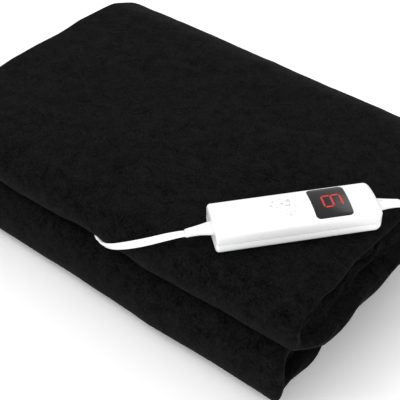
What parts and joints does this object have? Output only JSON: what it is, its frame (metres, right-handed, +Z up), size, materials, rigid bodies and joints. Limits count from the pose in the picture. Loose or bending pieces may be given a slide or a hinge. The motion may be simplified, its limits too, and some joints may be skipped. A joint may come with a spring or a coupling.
{
  "type": "heated throw blanket",
  "caption": "Black plush heated throw folded into a block, with a white in-line hand controller lying on it, a lead that enters the fold and a coiled mains cord.",
  "frame": {"origin": "middle of the folded throw's underside, on the surface it lies on", "axes": "+X along the fold's long side, +Y towards the spine with the closed folds at -Y, +Z up"},
  "size_m": [0.5712, 0.4311, 0.1343],
  "materials": {
    "plush_black": "short black plush, fine mottled nap",
    "carrier_felt": "thin grey needle felt that carries the heating wire",
    "wire_insulation": "dull red insulated heating wire",
    "binding_black": "black woven binding tape",
    "casing_white": "white satin moulded plastic",
    "neck_white": "soft white moulding",
    "window_black": "gloss black display window",
    "module_black": "black display housing",
    "segment_red": "lit red light guide",
    "segment_dark": "unlit light guide",
    "component_black": "black moulded component",
    "board_green": "green printed board",
    "sink_aluminium": "plain aluminium",
    "capacitor_amber": "amber capacitor case",
    "fuse_glass": "glass fuse tube",
    "contact_brass": "brass contact",
    "terminal_green": "green terminal block",
    "connector_black": "black moulded connector",
    "screw_steel": "zinc plated steel",
    "cord_white": "white cord sheath",
    "tie_black": "black hook and loop strap",
    "plug_white": "white moulded plug",
    "conductor_brown": "insulated conductor"
  },
  "bodies": {
    "throw": {"casing_screw_1": "screw_steel", "casing_screw_2": "screw_steel", "casing_screw_3": "screw_steel", "casing_screw_4": "screw_steel", "coil_tie": "tie_black", "connector_pin_1": "contact_brass", "connector_pin_2": "contact_brass", "connector_plug": "connector_black", "connector_socket": "connector_black", "control_board": "board_green", "controller_bottom_shell": "casing_white", "controller_top_shell": "casing_white", "cover_inner_lower": "plush_black", "cover_inner_spine": "plush_black", "cover_inner_upper": "plush_black", "cover_outer": "plush_black", "digit_module": "module_black", "digit_segment_bottom": "segment_red", "digit_segment_lower_left": "segment_red", "digit_segment_lower_right": "segment_red", "digit_segment_middle": "segment_red", "digit_segment_top": "segment_red", "digit_segment_upper_left": "segment_red", "digit_segment_upper_right": "segment_dark", "display_window": "window_black", "edge_binding_lower": "binding_black", "edge_binding_upper": "binding_black", "filter_capacitor": "capacitor_amber", "fuse": "fuse_glass", "fuse_clip_1": "contact_brass", "fuse_clip_2": "contact_brass", "heat_sink": "sink_aluminium", "heating_felt": "carrier_felt", "heating_wire": "wire_insulation", "latch_pin": "screw_steel", "lead_conductor_1": "conductor_brown", "lead_conductor_2": "conductor_brown", "lead_cord": "cord_white", "lead_neck": "neck_white", "lead_terminal": "terminal_green", "mains_coil": "cord_white", "mains_conductor_1": "conductor_brown", "mains_conductor_2": "conductor_brown", "mains_cord": "cord_white", "mains_cord_tail": "cord_white", "mains_neck": "neck_white", "mains_plug": "plug_white", "mains_plug_pin_1": "contact_brass", "mains_plug_pin_2": "contact_brass", "mains_terminal": "terminal_green", "microcontroller": "component_black", "socket_contact_1": "contact_brass", "socket_contact_2": "contact_brass", "socket_patch": "binding_black", "tact_switch": "component_black", "triac": "component_black"},
    "button": {"power_button": "casing_white", "tact_actuator": "component_black"},
    "latch": {"connector_latch": "connector_black"}
  },
  "joints": [
    {"name": "button_press", "type": "slide", "parent": "throw", "child": "button", "axis": [0, 0, -1], "range_m": [0, 0.0008], "stiffness_N_per_m": 800},
    {"name": "latch_lift", "type": "hinge", "parent": "throw", "child": "latch", "pos_m": [-0.106, 0.1177, 0.07415], "axis": [0, 1, 0], "range_deg": [0, 8], "stiffness_Nm_per_rad": 0.05}
  ]
}
